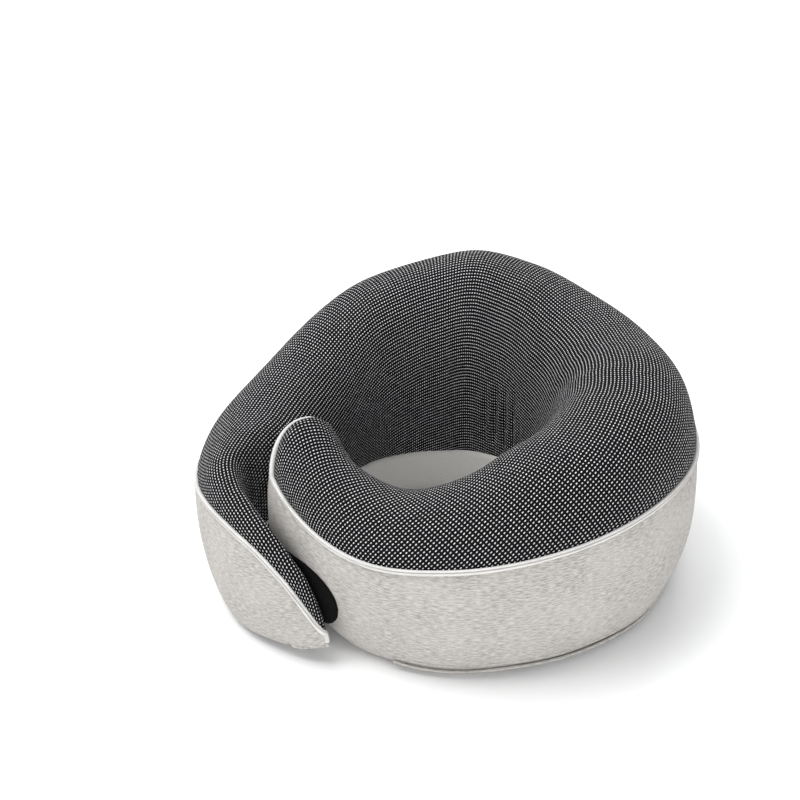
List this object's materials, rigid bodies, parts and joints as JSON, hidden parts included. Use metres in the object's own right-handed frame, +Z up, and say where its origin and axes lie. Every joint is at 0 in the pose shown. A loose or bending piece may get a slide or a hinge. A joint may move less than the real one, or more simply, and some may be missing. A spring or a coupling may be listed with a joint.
{
  "type": "u shaped neck pillow",
  "caption": "Foam travel neck pillow with a raised nape, overlapping front arms held by a hook and loop patch, and a zip in its bottom edge.",
  "frame": {"origin": "under the middle of the whole pillow, on the table that it rests on", "axes": "+Z up, +Y towards the nape, +X towards the wearer's side where the outer wall is highest (the arm that ends inside the ring)"},
  "size_m": [0.288, 0.2569, 0.152],
  "materials": {
    "jersey": "heathered light grey jersey",
    "dot_knit": "black spacer knit with white dots",
    "smooth_jersey": "plain light grey jersey",
    "base_cloth": "light grey jersey",
    "foam": "open-cell memory foam",
    "piping": "white woven piping",
    "loop_pile": "black loop pile",
    "hook_tape": "black hook tape",
    "zip_tape": "grey woven tape",
    "zip_coil": "grey nylon coil",
    "zip_metal": "grey enamel"
  },
  "bodies": {
    "right_half": {"jersey_panel_right": "jersey", "end_panel_right": "jersey", "knit_panel_right": "dot_knit", "foot_band_right": "smooth_jersey", "base_panel_right": "base_cloth", "foam_core_right": "foam", "piping_right": "piping", "piping_end": "piping", "loop_patch": "loop_pile", "zip_lip_upper": "jersey", "zip_lip_lower": "jersey", "zip_tape_upper": "zip_tape", "zip_tape_lower": "zip_tape", "zip_coil_upper": "zip_coil", "zip_coil_lower": "zip_coil", "zip_stop_front": "zip_metal", "zip_stop_back": "zip_metal"},
    "left_half": {"jersey_panel_left": "jersey", "end_panel_left": "jersey", "knit_panel_left": "dot_knit", "foot_band_left": "smooth_jersey", "base_panel_left": "base_cloth", "foam_core_left": "foam", "piping_left": "piping", "hook_patch": "hook_tape"},
    "zip_slider": {"zip_slider": "zip_metal"},
    "zip_pull": {"zip_pull": "zip_metal"}
  },
  "joints": [
    {"name": "nape_flex", "type": "hinge", "parent": "right_half", "child": "left_half", "pos_m": [-0.00002, 0.09141, 0.08], "axis": [0, 0, -1], "range_deg": [0, 50], "stiffness_Nm_per_rad": 0.6},
    {"name": "zip_travel", "type": "hinge", "parent": "right_half", "child": "zip_slider", "pos_m": [0.01465, 0.00092, 0.007], "axis": [0, 0, -1], "range_deg": [0, 126]},
    {"name": "pull_flip", "type": "hinge", "parent": "zip_slider", "child": "zip_pull", "pos_m": [0.13337, 0.03969, 0.007], "axis": [0, 0, 1], "range_deg": [0, 120]}
  ]
}
